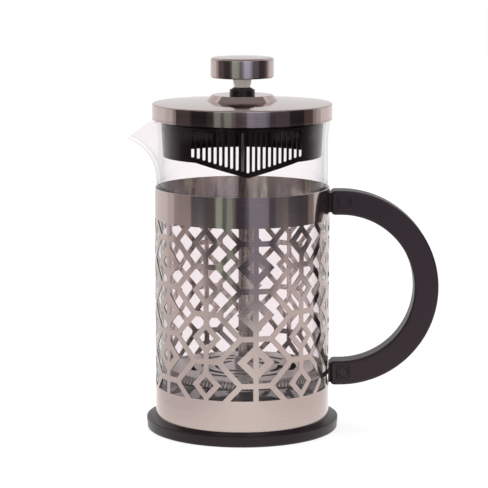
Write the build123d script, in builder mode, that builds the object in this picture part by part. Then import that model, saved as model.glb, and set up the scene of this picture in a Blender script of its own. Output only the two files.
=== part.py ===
"""French press: pierced steel sleeve on a plastic foot, lift-out glass beaker, strainer lid and plunger.

Millimetres.  Z is up, the origin is the centre of the foot's flat underside, the handle points along +X
and the pouring lip along -X.
"""

from build123d import *

import os
from math import cos, hypot, radians, sin, sqrt

# ---------------------------------------------------------------- driving dimensions

FIT = 0.05            # gap between pieces fixed to each other
RUN = 0.08            # radial gap of a sliding or turning fit
CLEAR = 0.3           # gap between round pieces that move past each other

# Sleeve: a thin steel tube with a band of cut-outs between two plain bands
SLEEVE_R = 45.65
SLEEVE_WALL = 0.6
SLEEVE_BOTTOM = 4.5
SLEEVE_TOP = 127.6
CUT_CENTRE = 67.45
CUT_HALF = 44.4
ROW_PITCH = 24.4
COLUMN_STEP = 32.7
STRUT = 2.8
BARRED_NODE_HALF = 7.9
OPEN_NODE_HALF = 6.65
BARRED_DIAMOND = (9.7, 9.6)
OPEN_DIAMOND = (7.9, 8.6)
BARRED_DIAMOND_STRUT = 3.5
NEAR_SEAM_COLUMN = 87.8
SEAM_ANGLE = 86.5
SEAM_WIDTH = 7.8
PAD_R = 7.4

# Foot
FOOT_R = 50.45
FOOT_BODY_R = 50.15
FOOT_LIP_Z = 3.7
FOOT_EDGE_Z = 5.85
FOOT_TOP = 7.0
FOOT_FLOOR = 2.5
FOOT_ROUND = 0.9
UPSTAND_TOP = 12.0
UPSTAND_WALL = 2.4
RIB_COUNT = 8
RIB_WALL = 1.8
HUB_R = 6.0
FOOT_GROOVES = (20.0, 34.0)
FOOT_GROOVE_WIDTH = 1.2
FOOT_GROOVE_DEPTH = 0.4

# Cushion ring between foot and beaker
CUSHION_R = 33.0
CUSHION_WIDTH = 7.0
CUSHION_HEIGHT = 2.8
CUSHION_SEAT = 0.8

# Glass beaker
GLASS_R = 44.75
GLASS_WALL = 2.0
GLASS_FLOOR = 3.0
GLASS_CORNER = 8.0
GLASS_RIM = 168.4
GLASS_RIM_ROUND = 0.8
FLARE_START = GLASS_RIM - 14.4
FLARE_END = GLASS_RIM - 5.9
FLARE = 0.8
LIP_HALF = 13.0
LIP_NOSE_HALF = 4.6
LIP_PULL = 7.0
LIP_ROOT = (43.9, 40.4)                # reach from the axis and drop below the rim
LIP_OUTLINE = ((45.2, 32.8), (46.4, 28.3), (48.6, 24.2), (52.3, 20.0), (56.0, 17.4), (59.4, 15.9))
LIP_EDGE = ((61.6, 17.7), (57.9, 14.0), (55.3, 11.8), (50.9, 8.8), (46.9, 6.7), (43.8, 6.3))
NOTCH_X = 37.4

# Lid cover
LID_R = 46.85
LID_SHEET = 0.6
LID_BOTTOM = GLASS_RIM - 5.4
LID_SHOULDER = GLASS_RIM + 2.9
LID_CORNER = 0.8
DOME_R = 18.6
DOME_Z = GLASS_RIM + 4.2
DOME_SAG = 0.15
PLATEAU_R = 15.7
PLATEAU_Z = GLASS_RIM + 7.2
HEM_HEIGHT = 0.9
HEM_DEPTH = 0.2
HEM_LINE = 0.12

# Strainer basket under the lid
WEB = 1.5
BASKET_R = 42.1
BASKET_LOW_R = 41.2
BASKET_WALL = 1.4
BASKET_STEP_Z = GLASS_RIM - 7.4
BEAD = 0.35
SKIRT_EDGE = GLASS_RIM - 24.5
TONGUE_EDGE = GLASS_RIM - 31.5
TONGUE_HALF = 26.0
TONGUE_ANGLE = -86.5
TONGUE_SHOULDER_R = 60.0
TONGUE_TIP_R = 26.0
SLOT_COUNT = 21
SLOT_STEP = 2.73
SLOT_WIDTH = 1.45
SLOT_TOP = GLASS_RIM - 8.4
SLOT_MARGIN = 2.5
NECK_R = 4.5
NECK_SHOULDER_R = 8.0
NECK_ABOVE = 2.2

# Collar on top of the lid
COLLAR_R = 6.6
COLLAR_HEIGHT = 3.9
COLLAR_CHAMFER = 1.4
COLLAR_TOP_R = 4.2

# Plunger rod and knob
ROD_R = 2.0
ROD_TAIL = 0.6
ROD_CHAMFER = 0.4
KNOB_R = 16.45
KNOB_BOTTOM = GLASS_RIM + 16.2
KNOB_HEIGHT = 10.75
KNOB_DOME = 0.5
KNOB_ROUND = 1.5
KNOB_BEVEL = 0.5
KNOB_SHEET = 0.8
KNOB_LIP = 1.2
FERRULE_TOP_R = 4.8
FERRULE_LOW_R = 3.9
FERRULE_BULGE = 0.3
KNOB_INSERT_R = 3.0
KNOB_INSERT_LENGTH = 9.0
KNOB_INSERT_DROP = 3.4

# Filter stack
STACK_BOTTOM = 26.5
CROSS_SHEET = 0.8
CROSS_RIM = 2.6
CROSS_ARM = 6.0
CROSS_HUB_R = 9.0
MESH_THICKNESS = 0.3
MESH_OVERLAP = 1.0
COIL_R = 2.2
PLATE_RISE = 3.6
PLATE_SHEET = 0.8
PLATE_SLOT_RINGS = (13.0, 20.0, 27.0)
PLATE_SLOTS_PER_RING = 6
PLATE_SLOT_ARC = 42.0
PLATE_SLOT_WIDTH = 3.0
PLATE_RING_TURN = 20.0
HUB_NUT_R = 4.1
HUB_NUT_HEIGHT = 5.9
HUB_NUT_DOME = 2.0
HUB_SPIGOT_R = 3.2
NUT_FLATS = 8.0
NUT_HEIGHT = 3.2

# Handle
HANDLE_CENTRE_X = 51.3
HANDLE_CENTRE_Z = 74.45
HANDLE_OUTER_R = 51.5
HANDLE_SECTION = 12.7
HANDLE_THICKNESS = 14.0
HANDLE_GAP = 0.6
HANDLE_END_ROUND = 2.2
HANDLE_EDGE_ROUND = 1.5
NECK_TALL = 10.5
NECK_WIDE = 11.0
NECK_ROUND = 1.5

# Screws that hold the handle, the pressed dimples they sit in, and their threaded inserts
SCREW_R = 2.0
SCREW_HEAD_R = 3.8
SCREW_LENGTH = 11.0
DIMPLE_GAP = 0.1
DIMPLE_LEAD = 1.2
RECESS_SPAN = 4.2
RECESS_WIDTH = 0.9
RECESS_DEPTH = 0.9
INSERT_R = 3.2
INSERT_LENGTH = 9.0
INSERT_SETBACK = 1.4

# ---------------------------------------------------------------- places worked out from the sizes

sleeve_inner = SLEEVE_R - SLEEVE_WALL
cushion_bottom = UPSTAND_TOP - CUSHION_SEAT
glass_bottom = cushion_bottom + CUSHION_HEIGHT
glass_inner = GLASS_R - GLASS_WALL
web_top = GLASS_RIM + WEB
collar_top = PLATEAU_Z + COLLAR_HEIGHT
knob_top = KNOB_BOTTOM + KNOB_HEIGHT
knob_inner = KNOB_R - KNOB_SHEET
knob_insert_bottom = KNOB_BOTTOM - KNOB_INSERT_DROP
rod_top = knob_insert_bottom + KNOB_INSERT_LENGTH
rod_bottom = STACK_BOTTOM - NUT_HEIGHT - ROD_TAIL
mesh_bottom = STACK_BOTTOM + CROSS_SHEET
mesh_top = mesh_bottom + MESH_THICKNESS
plate_bottom = mesh_top + PLATE_RISE
plate_top = plate_bottom + PLATE_SHEET
coil_ring_r = glass_inner - CLEAR - COIL_R
plate_r = coil_ring_r - COIL_R - FIT
handle_end_x = SLEEVE_R + HANDLE_GAP
handle_inner_r = HANDLE_OUTER_R - HANDLE_SECTION
arm_offset = HANDLE_OUTER_R - HANDLE_SECTION / 2
arm_heights = {"upper": HANDLE_CENTRE_Z + arm_offset, "lower": HANDLE_CENTRE_Z - arm_offset}
insert_start_x = handle_end_x + INSERT_SETBACK

os.makedirs("parts", exist_ok=True)


def save(piece, name):
    """Label one finished piece and write it to its own STEP file."""
    piece.part.label = name
    export_step(piece.part, f"parts/{name}.step")


def radial_plane(angle, radius, height):
    """Plane that faces outwards at an angle round the axis, with its local Y pointing up."""
    turn = radians(angle)
    return Plane(
        origin=(radius * cos(turn), radius * sin(turn), height),
        x_dir=(-sin(turn), cos(turn), 0),
        z_dir=(cos(turn), sin(turn), 0),
    )


def ring_edges(piece, radius):
    """Circular edges of one radius, from the lowest to the highest."""
    circles = piece.edges().filter_by(GeomType.CIRCLE)
    return circles.filter_by(lambda edge: abs(edge.radius - radius) < 0.001).sort_by(Axis.Z)


# ---------------------------------------------------------------- foot and cushion

with BuildPart() as base_foot:
    with BuildSketch(Plane.XZ):
        with BuildLine():
            Polyline(
                (0, 0),
                (FOOT_BODY_R, 0),
                (FOOT_BODY_R, FOOT_LIP_Z),
                (FOOT_R, FOOT_LIP_Z),
                (FOOT_R, FOOT_EDGE_Z),
                (SLEEVE_R + FIT, FOOT_TOP),
                (SLEEVE_R + FIT, SLEEVE_BOTTOM),
                (sleeve_inner - FIT, SLEEVE_BOTTOM),
                (sleeve_inner - FIT, UPSTAND_TOP),
                (sleeve_inner - UPSTAND_WALL, UPSTAND_TOP),
                (sleeve_inner - UPSTAND_WALL, FOOT_FLOOR),
                (0, FOOT_FLOOR),
                close=True,
            )
        make_face()
    revolve(axis=Axis.Z)
    fillet(ring_edges(base_foot, FOOT_BODY_R)[0], FOOT_ROUND)
    fillet(ring_edges(base_foot, FOOT_R)[-1], FOOT_ROUND / 2)
    with BuildSketch(Plane.XY.offset(FOOT_FLOOR)):
        Circle(HUB_R)
        rib_length = sleeve_inner - UPSTAND_WALL / 2
        with PolarLocations(rib_length / 2, RIB_COUNT):
            Rectangle(rib_length, RIB_WALL)
    extrude(amount=UPSTAND_TOP - FOOT_FLOOR)
    with BuildSketch(Plane.XY.offset(cushion_bottom)):
        Circle(CUSHION_R + FIT)
        Circle(CUSHION_R - CUSHION_WIDTH - FIT, mode=Mode.SUBTRACT)
    extrude(amount=CUSHION_SEAT, mode=Mode.SUBTRACT)
    for groove_r in FOOT_GROOVES:
        with BuildSketch(Plane.XY):
            Circle(groove_r + FOOT_GROOVE_WIDTH / 2)
            Circle(groove_r - FOOT_GROOVE_WIDTH / 2, mode=Mode.SUBTRACT)
        extrude(amount=FOOT_GROOVE_DEPTH, mode=Mode.SUBTRACT)
save(base_foot, "base_foot")

with BuildPart() as beaker_cushion:
    with BuildSketch(Plane.XY.offset(cushion_bottom)):
        Circle(CUSHION_R)
        Circle(CUSHION_R - CUSHION_WIDTH, mode=Mode.SUBTRACT)
    extrude(amount=CUSHION_HEIGHT)
save(beaker_cushion, "beaker_cushion")

# ---------------------------------------------------------------- cut-outs of the sleeve

column_pitch = radians(COLUMN_STEP) * SLEEVE_R
half_row = ROW_PITCH / 2
diagonal_run = (column_pitch - BARRED_NODE_HALF - OPEN_NODE_HALF) / half_row
diagonal_inset = STRUT / 2 * hypot(1, diagonal_run)
tool_start = SLEEVE_R - 6 * SLEEVE_WALL
tool_length = 12 * SLEEVE_WALL


def flatten(points):
    """Carry distances along the sleeve's surface to the flat plane that touches it."""
    return [(SLEEVE_R * sin(along / SLEEVE_R), up) for along, up in points]


def diamond(half_width, half_height):
    """Corners of an upright diamond."""
    return [(-half_width, 0), (0, -half_height), (half_width, 0), (0, half_height)]


def diamond_hole(half_width, half_height, strut):
    """Corners of the hole left inside a diamond frame of one strut width."""
    edge_distance = half_width * half_height / hypot(half_width, half_height)
    shrink = 1 - strut / edge_distance
    return diamond(half_width * shrink, half_height * shrink)


def cell_hexagon(node_half, next_node_half):
    """Corners of the clear hexagon between the struts round one cell."""
    up = half_row - STRUT / 2
    half = node_half + diagonal_run * STRUT / 2 - diagonal_inset
    side = column_pitch - next_node_half - diagonal_inset
    return [(half, up), (side, 0), (half, -up), (-half, -up), (-side, 0), (-half, up)]


# Two kinds of column take turns, from the handle round the front to the seam, and from the seam to the handle
front_columns = [(-COLUMN_STEP * (k + 0.5), k % 2 == 0) for k in range(9)]
back_columns = [(NEAR_SEAM_COLUMN - COLUMN_STEP * k, k % 2 == 0) for k in range(3)]
front_ends = ((0, Align.MIN), (SEAM_ANGLE, Align.MAX))
back_ends = ((SEAM_ANGLE, Align.MIN),)
cell_steps = {True: range(-4, 5, 2), False: range(-3, 4, 2)}
cell_corners = {
    True: flatten(cell_hexagon(BARRED_NODE_HALF, OPEN_NODE_HALF)),
    False: flatten(cell_hexagon(OPEN_NODE_HALF, BARRED_NODE_HALF)),
}
diamond_corners = {True: flatten(diamond(*BARRED_DIAMOND)), False: flatten(diamond(*OPEN_DIAMOND))}
hole_corners = {
    True: flatten(diamond_hole(*BARRED_DIAMOND, BARRED_DIAMOND_STRUT)),
    False: flatten(diamond_hole(*OPEN_DIAMOND, STRUT)),
}
deep_start = tool_start - STRUT
deep_length = tool_length + 2 * STRUT
cutout_groups = []

for columns, ends in ((front_columns, front_ends), (back_columns, back_ends)):
    with BuildPart() as group_cutouts:
        for column_angle, barred in columns:
            rises = [step * half_row for step in cell_steps[barred]]
            framed_rises = [rise for rise in rises if abs(rise) < CUT_HALF]
            with BuildSketch(radial_plane(column_angle, tool_start, CUT_CENTRE)):
                with Locations(*[(0, rise) for rise in rises]):
                    Polygon(*cell_corners[barred], align=None)
                with Locations(*[(0, rise) for rise in framed_rises]):
                    Polygon(*diamond_corners[barred], align=None, mode=Mode.SUBTRACT)
                Rectangle(STRUT, 4 * CUT_HALF, mode=Mode.SUBTRACT)
                with Locations(*[(0, rise) for rise in framed_rises]):
                    Polygon(*hole_corners[barred], align=None)
                if barred:
                    Rectangle(STRUT, 4 * CUT_HALF, mode=Mode.SUBTRACT)
                Rectangle(2 * column_pitch, 2 * CUT_HALF, mode=Mode.INTERSECT)
            extrude(amount=tool_length)
        for end_angle, side in ends:
            with BuildSketch(radial_plane(end_angle, deep_start, CUT_CENTRE)):
                Rectangle(1.5 * column_pitch, 2 * CUT_HALF + STRUT, align=(side, Align.CENTER))
            extrude(amount=deep_length, mode=Mode.SUBTRACT)
    cutout_groups.append(group_cutouts.part)

with BuildPart() as cutouts:
    for group in cutout_groups:
        add(group)
    for strip_angle in (0, SEAM_ANGLE):
        with BuildSketch(radial_plane(strip_angle, deep_start, CUT_CENTRE)):
            Rectangle(SEAM_WIDTH, 2 * CUT_HALF + STRUT)
        extrude(amount=deep_length, mode=Mode.SUBTRACT)
    with BuildSketch(radial_plane(0, deep_start, arm_heights["lower"])):
        Circle(PAD_R)
    extrude(amount=deep_length, mode=Mode.SUBTRACT)

# ---------------------------------------------------------------- sleeve with dimples for the screw heads

head_x = sleeve_inner + FIT
head_depth = SCREW_HEAD_R - SCREW_R
dimple_end_x = head_x + head_depth
dimple_skin = SLEEVE_WALL * sqrt(2)


def cone_outline(axis_z, swell, start_x, end_x):
    """Half outline of a 45 degree cone about a screw's axis, swollen outwards from the screw's head."""
    start_r = SCREW_HEAD_R + swell + head_x - start_x
    end_r = SCREW_HEAD_R + swell + head_x - end_x
    return [(start_x, axis_z), (start_x, axis_z + start_r), (end_x, axis_z + end_r), (end_x, axis_z)]


def screw_axis(axis_z):
    """Line along X at the height of one screw."""
    return Axis((0, 0, axis_z), (1, 0, 0))


with BuildPart() as steel_sleeve:
    with BuildSketch(Plane.XY.offset(SLEEVE_BOTTOM)):
        Circle(SLEEVE_R)
    extrude(amount=SLEEVE_TOP - SLEEVE_BOTTOM)
    for arm_z in arm_heights.values():
        with BuildSketch(Plane.XZ):
            cone = cone_outline(arm_z, DIMPLE_GAP + dimple_skin, head_x - DIMPLE_LEAD, dimple_end_x)
            Polygon(*cone, align=None)
        revolve(axis=screw_axis(arm_z))
    with BuildSketch(Plane.XY.offset(SLEEVE_BOTTOM)):
        Circle(sleeve_inner)
    extrude(amount=SLEEVE_TOP - SLEEVE_BOTTOM, mode=Mode.SUBTRACT)
    add(cutouts.part, mode=Mode.SUBTRACT)
    for arm_z in arm_heights.values():
        with BuildSketch(Plane.XZ):
            Polygon(*cone_outline(arm_z, DIMPLE_GAP, head_x - DIMPLE_LEAD, dimple_end_x), align=None)
        revolve(axis=screw_axis(arm_z), mode=Mode.SUBTRACT)
save(steel_sleeve, "steel_sleeve")

# ---------------------------------------------------------------- handle, its screws and inserts

with BuildPart() as handle_grip:
    with BuildSketch(Plane.XZ) as handle_outline:
        with BuildLine():
            outer_top = (HANDLE_CENTRE_X, HANDLE_CENTRE_Z + HANDLE_OUTER_R)
            outer_low = (HANDLE_CENTRE_X, HANDLE_CENTRE_Z - HANDLE_OUTER_R)
            inner_top = (HANDLE_CENTRE_X, HANDLE_CENTRE_Z + handle_inner_r)
            inner_low = (HANDLE_CENTRE_X, HANDLE_CENTRE_Z - handle_inner_r)
            Line((handle_end_x, outer_top[1]), outer_top)
            ThreePointArc(outer_top, (HANDLE_CENTRE_X + HANDLE_OUTER_R, HANDLE_CENTRE_Z), outer_low)
            Line(outer_low, (handle_end_x, outer_low[1]))
            Line((handle_end_x, outer_low[1]), (handle_end_x, inner_low[1]))
            Line((handle_end_x, inner_low[1]), inner_low)
            ThreePointArc(inner_low, (HANDLE_CENTRE_X + handle_inner_r, HANDLE_CENTRE_Z), inner_top)
            Line(inner_top, (handle_end_x, inner_top[1]))
            Line((handle_end_x, inner_top[1]), (handle_end_x, outer_top[1]))
        make_face()
        fillet(handle_outline.vertices().group_by(Axis.X)[0], HANDLE_END_ROUND)
    extrude(amount=HANDLE_THICKNESS / 2, both=True)
    side_faces = handle_grip.faces().filter_by(Axis.Y)
    fillet(side_faces.edges(), HANDLE_EDGE_ROUND)
    for arm_z in arm_heights.values():
        with BuildSketch(radial_plane(0, sleeve_inner - NECK_ROUND, arm_z)):
            RectangleRounded(NECK_WIDE, NECK_TALL, NECK_ROUND)
        extrude(amount=HANDLE_GAP + HANDLE_END_ROUND + NECK_ROUND)
    with BuildSketch(Plane.XY):
        Circle(SLEEVE_R + FIT)
    extrude(amount=SLEEVE_TOP, mode=Mode.SUBTRACT)
    for arm_z in arm_heights.values():
        with BuildSketch(Plane.XZ):
            swell = 2 * DIMPLE_GAP + dimple_skin
            Polygon(*cone_outline(arm_z, swell, head_x - DIMPLE_LEAD, dimple_end_x + DIMPLE_GAP), align=None)
        revolve(axis=screw_axis(arm_z), mode=Mode.SUBTRACT)
        with BuildSketch(radial_plane(0, head_x, arm_z)):
            Circle(SCREW_R + DIMPLE_GAP)
        extrude(amount=SCREW_LENGTH + DIMPLE_GAP, mode=Mode.SUBTRACT)
        with BuildSketch(radial_plane(0, insert_start_x, arm_z)):
            Circle(INSERT_R + FIT)
        extrude(amount=INSERT_LENGTH, mode=Mode.SUBTRACT)
save(handle_grip, "handle_grip")

for arm_name, arm_z in arm_heights.items():
    with BuildPart() as handle_screw:
        with BuildSketch(Plane.XZ):
            Polygon(*cone_outline(arm_z, 0, head_x, dimple_end_x), align=None)
        revolve(axis=screw_axis(arm_z))
        with BuildSketch(radial_plane(0, dimple_end_x, arm_z)):
            Circle(SCREW_R)
        extrude(amount=SCREW_LENGTH - head_depth)
        with BuildSketch(radial_plane(0, head_x, arm_z)):
            Rectangle(RECESS_SPAN, RECESS_WIDTH)
            Rectangle(RECESS_WIDTH, RECESS_SPAN)
        extrude(amount=RECESS_DEPTH, mode=Mode.SUBTRACT)
    save(handle_screw, f"{arm_name}_handle_screw")

    with BuildPart() as handle_insert:
        with BuildSketch(radial_plane(0, insert_start_x, arm_z)):
            Circle(INSERT_R)
            Circle(SCREW_R + FIT, mode=Mode.SUBTRACT)
        extrude(amount=INSERT_LENGTH)
    save(handle_insert, f"{arm_name}_handle_insert")

# ---------------------------------------------------------------- glass beaker


def lip_section(nose_x, nose_half, root_r, root_half):
    """Outline of the pouring lip at one height: from the wall out to the nose and back again."""
    root_x = sqrt(root_r**2 - root_half**2)
    pull = (root_x + LIP_PULL * root_half / root_r, root_half - LIP_PULL * root_x / root_r)
    Bezier((-root_x, root_half), (-pull[0], pull[1]), (-nose_x, nose_half), (-nose_x, 0))
    Bezier((-nose_x, 0), (-nose_x, -nose_half), (-pull[0], -pull[1]), (-root_x, -root_half))
    Line((-root_x, -root_half), (-root_x, root_half))


def inset_outline(points, wall):
    """Move each point of a rising outline inwards, square to the outline, by the wall."""
    moved = []
    for index, (x, z) in enumerate(points):
        before = points[max(index - 1, 0)]
        after = points[min(index + 1, len(points) - 1)]
        run, rise = after[0] - before[0], after[1] - before[1]
        length = hypot(run, rise)
        moved.append((x - wall * rise / length, z + wall * run / length))
    return moved


outer_outline = [(reach, GLASS_RIM - drop) for reach, drop in (LIP_ROOT,) + LIP_OUTLINE]
inner_outline = inset_outline(outer_outline, GLASS_WALL)
lip_shapes = (
    (outer_outline, LIP_NOSE_HALF, GLASS_R - CLEAR, LIP_HALF),
    (inner_outline, LIP_NOSE_HALF - GLASS_WALL / 2, glass_inner - CLEAR, LIP_HALF - GLASS_WALL / 2),
)
lip_solids = []
for lip_outline, nose_half, root_r, root_half in lip_shapes:
    with BuildPart() as lip_solid:
        for nose_x, height in lip_outline:
            with BuildSketch(Plane.XY.offset(height)):
                with BuildLine():
                    lip_section(nose_x, nose_half, root_r, root_half)
                make_face()
        loft()
        with BuildSketch(Plane.XY.offset(lip_outline[-1][1])):
            with BuildLine():
                lip_section(lip_outline[-1][0], nose_half, root_r, root_half)
            make_face()
        extrude(amount=GLASS_RIM - lip_outline[-1][1])
    lip_solids.append(lip_solid.part)


def flare_curve(radius, start, end):
    """Wall line that widens smoothly between two heights."""
    Spline((radius, start), (radius + FLARE, end), tangents=((0, 1), (0, 1)))


with BuildPart() as glass_beaker:
    with BuildSketch(Plane.XZ):
        with BuildLine():
            inner_floor = glass_bottom + GLASS_FLOOR
            corner_centre_r = GLASS_R - GLASS_CORNER
            inner_corner = GLASS_CORNER - GLASS_WALL
            Line((0, glass_bottom), (corner_centre_r, glass_bottom))
            RadiusArc((corner_centre_r, glass_bottom), (GLASS_R, glass_bottom + GLASS_CORNER), -GLASS_CORNER)
            Line((GLASS_R, glass_bottom + GLASS_CORNER), (GLASS_R, FLARE_START))
            flare_curve(GLASS_R, FLARE_START, FLARE_END)
            Line((GLASS_R + FLARE, FLARE_END), (GLASS_R + FLARE, GLASS_RIM))
            Line((GLASS_R + FLARE, GLASS_RIM), (glass_inner + FLARE, GLASS_RIM))
            Line((glass_inner + FLARE, GLASS_RIM), (glass_inner + FLARE, FLARE_END))
            flare_curve(glass_inner, FLARE_START, FLARE_END)
            Line((glass_inner, FLARE_START), (glass_inner, inner_floor + inner_corner))
            RadiusArc((glass_inner, inner_floor + inner_corner), (corner_centre_r, inner_floor), inner_corner)
            Line((corner_centre_r, inner_floor), (0, inner_floor))
            Line((0, inner_floor), (0, glass_bottom))
        make_face()
    revolve(axis=Axis.Z)
    fillet(ring_edges(glass_beaker, GLASS_R + FLARE)[-1], GLASS_RIM_ROUND)
    fillet(ring_edges(glass_beaker, glass_inner + FLARE)[-1], GLASS_RIM_ROUND)
    add(lip_solids[0])
    add(lip_solids[1], mode=Mode.SUBTRACT)
    with BuildSketch(Plane.XZ):
        with BuildLine():
            notch_points = [(-reach, GLASS_RIM - drop) for reach, drop in LIP_EDGE]
            Spline(*notch_points)
            Polyline(
                notch_points[-1],
                (-NOTCH_X, GLASS_RIM),
                (-NOTCH_X, GLASS_RIM + GLASS_WALL),
                (notch_points[0][0], GLASS_RIM + GLASS_WALL),
                notch_points[0],
            )
        make_face()
    extrude(amount=2 * LIP_HALF, both=True, mode=Mode.SUBTRACT)
save(glass_beaker, "glass_beaker")

# ---------------------------------------------------------------- lid cover, strainer basket and collar

with BuildPart() as lid_cover:
    with BuildSketch(Plane.XZ):
        with BuildLine():
            hole_r = NECK_R + FIT
            lid_inner = LID_R - LID_SHEET
            dome_middle = ((LID_R + DOME_R) / 2, (LID_SHOULDER + DOME_Z) / 2 + DOME_SAG)
            hem_z = LID_BOTTOM + HEM_HEIGHT
            Polyline((hole_r, PLATEAU_Z), (PLATEAU_R, PLATEAU_Z), (DOME_R, DOME_Z))
            ThreePointArc((DOME_R, DOME_Z), dome_middle, (LID_R, LID_SHOULDER))
            Polyline(
                (LID_R, LID_SHOULDER),
                (LID_R, hem_z + HEM_LINE),
                (LID_R - HEM_LINE, hem_z),
                (LID_R, hem_z - HEM_LINE),
                (LID_R, LID_BOTTOM),
                (lid_inner - HEM_DEPTH, LID_BOTTOM),
                (lid_inner - HEM_DEPTH, hem_z),
                (lid_inner, hem_z),
                (lid_inner, LID_SHOULDER - LID_SHEET),
            )
            ThreePointArc(
                (lid_inner, LID_SHOULDER - LID_SHEET),
                (dome_middle[0], dome_middle[1] - LID_SHEET),
                (DOME_R - LID_SHEET / 2, DOME_Z - LID_SHEET),
            )
            Polyline(
                (DOME_R - LID_SHEET / 2, DOME_Z - LID_SHEET),
                (PLATEAU_R - LID_SHEET / 2, PLATEAU_Z - LID_SHEET),
                (hole_r, PLATEAU_Z - LID_SHEET),
                (hole_r, PLATEAU_Z),
            )
        make_face()
    revolve(axis=Axis.Z)
    fillet(ring_edges(lid_cover, LID_R)[-1], LID_CORNER)
save(lid_cover, "lid_cover")

skirt_taper = (BASKET_R - BASKET_LOW_R) / (BASKET_STEP_Z - SKIRT_EDGE)


def skirt_edge_height(across):
    """Height of the skirt's lower edge at a distance to the side of the tongue's middle."""
    rise = (SKIRT_EDGE - TONGUE_EDGE) * min(abs(across) / TONGUE_HALF, 1)
    return TONGUE_EDGE + rise


with BuildPart() as strainer_basket:
    with BuildSketch(Plane.XZ):
        with BuildLine():
            flange_r = LID_R - LID_SHEET - CLEAR
            shoulder_z = PLATEAU_Z - LID_SHEET
            skirt_low = TONGUE_EDGE - BASKET_WALL
            low_r = BASKET_LOW_R - skirt_taper * (SKIRT_EDGE - skirt_low)
            guide_r = ROD_R + RUN
            Polyline(
                (guide_r, GLASS_RIM),
                (BASKET_R - BASKET_WALL, GLASS_RIM),
                (BASKET_R - BASKET_WALL, BASKET_STEP_Z),
                (low_r - BASKET_WALL, skirt_low),
                (low_r, skirt_low),
                (BASKET_R, BASKET_STEP_Z),
                (BASKET_R + BEAD, BASKET_STEP_Z + BEAD),
                (BASKET_R + BEAD, BASKET_STEP_Z + 2 * BEAD),
                (BASKET_R, BASKET_STEP_Z + 3 * BEAD),
                (BASKET_R, GLASS_RIM),
                (flange_r, GLASS_RIM),
                (flange_r, web_top),
                (NECK_SHOULDER_R, web_top),
                (NECK_SHOULDER_R, shoulder_z),
                (NECK_R, shoulder_z),
                (NECK_R, PLATEAU_Z + NECK_ABOVE),
                (guide_r, PLATEAU_Z + NECK_ABOVE),
                close=True,
            )
        make_face()
    revolve(axis=Axis.Z)
    with BuildSketch(radial_plane(TONGUE_ANGLE, 0, 0)) as skirt_trim:
        Polygon(
            (-LID_R, SKIRT_EDGE),
            (-LID_R, skirt_low - BASKET_WALL),
            (LID_R, skirt_low - BASKET_WALL),
            (LID_R, SKIRT_EDGE),
            (TONGUE_HALF, SKIRT_EDGE),
            (0, TONGUE_EDGE),
            (-TONGUE_HALF, SKIRT_EDGE),
            align=None,
        )
        trim_corners = skirt_trim.vertices().sort_by(Axis.Z)
        tip = trim_corners.filter_by(lambda corner: abs(corner.Z - TONGUE_EDGE) < FIT)
        upper_corners = trim_corners.filter_by(lambda corner: corner.Z > TONGUE_EDGE + FIT)
        shoulders = upper_corners.sort_by(SortBy.DISTANCE)[:2]
        fillet(tip, TONGUE_TIP_R)
        fillet(shoulders, TONGUE_SHOULDER_R)
    extrude(amount=LID_R, mode=Mode.SUBTRACT)
    with BuildSketch(radial_plane(TONGUE_ANGLE + 180, 0, 0)):
        Polygon(
            (-LID_R, SKIRT_EDGE),
            (-LID_R, skirt_low - BASKET_WALL),
            (LID_R, skirt_low - BASKET_WALL),
            (LID_R, SKIRT_EDGE),
            align=None,
        )
    extrude(amount=LID_R, mode=Mode.SUBTRACT)
    with BuildSketch(radial_plane(TONGUE_ANGLE, BASKET_LOW_R / 2, 0)):
        for slot in range(SLOT_COUNT):
            across = (slot - (SLOT_COUNT - 1) / 2) * SLOT_STEP
            slot_low = skirt_edge_height(across) + SLOT_MARGIN
            with Locations((across, (SLOT_TOP + slot_low) / 2)):
                SlotOverall(SLOT_TOP - slot_low, SLOT_WIDTH, rotation=90)
    extrude(amount=LID_R, mode=Mode.SUBTRACT)
save(strainer_basket, "strainer_basket")

with BuildPart() as lid_collar:
    with BuildSketch(Plane.XZ):
        with BuildLine():
            Polyline(
                (NECK_R + RUN, PLATEAU_Z),
                (COLLAR_R, PLATEAU_Z),
                (COLLAR_R, collar_top - COLLAR_CHAMFER),
                (COLLAR_TOP_R, collar_top),
                (ROD_R + RUN, collar_top),
                (ROD_R + RUN, PLATEAU_Z + NECK_ABOVE + CLEAR),
                (NECK_R + RUN, PLATEAU_Z + NECK_ABOVE + CLEAR),
                close=True,
            )
        make_face()
    revolve(axis=Axis.Z)
save(lid_collar, "lid_collar")

# ---------------------------------------------------------------- plunger rod and knob

with BuildPart() as plunger_rod:
    with BuildSketch(Plane.XY.offset(rod_bottom)):
        Circle(ROD_R)
    extrude(amount=rod_top - rod_bottom)
    chamfer(ring_edges(plunger_rod, ROD_R), ROD_CHAMFER)
save(plunger_rod, "plunger_rod")

with BuildPart() as knob_shell:
    with BuildSketch(Plane.XZ):
        with BuildLine():
            edge_z = knob_top - KNOB_DOME
            lip_r = knob_inner - KNOB_LIP
            dome_mid = (KNOB_R / 2, knob_top - KNOB_DOME / 4)
            ThreePointArc((0, knob_top), dome_mid, (KNOB_R, edge_z))
            Polyline(
                (KNOB_R, edge_z),
                (KNOB_R, KNOB_BOTTOM + KNOB_BEVEL),
                (KNOB_R - KNOB_BEVEL, KNOB_BOTTOM),
                (lip_r, KNOB_BOTTOM),
                (lip_r, KNOB_BOTTOM + KNOB_SHEET),
                (knob_inner, KNOB_BOTTOM + KNOB_SHEET),
                (knob_inner, edge_z - KNOB_SHEET),
                (0, edge_z - KNOB_SHEET),
                (0, knob_top),
            )
        make_face()
    revolve(axis=Axis.Z)
    fillet(ring_edges(knob_shell, KNOB_R)[-1], KNOB_ROUND)
save(knob_shell, "knob_shell")

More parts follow.
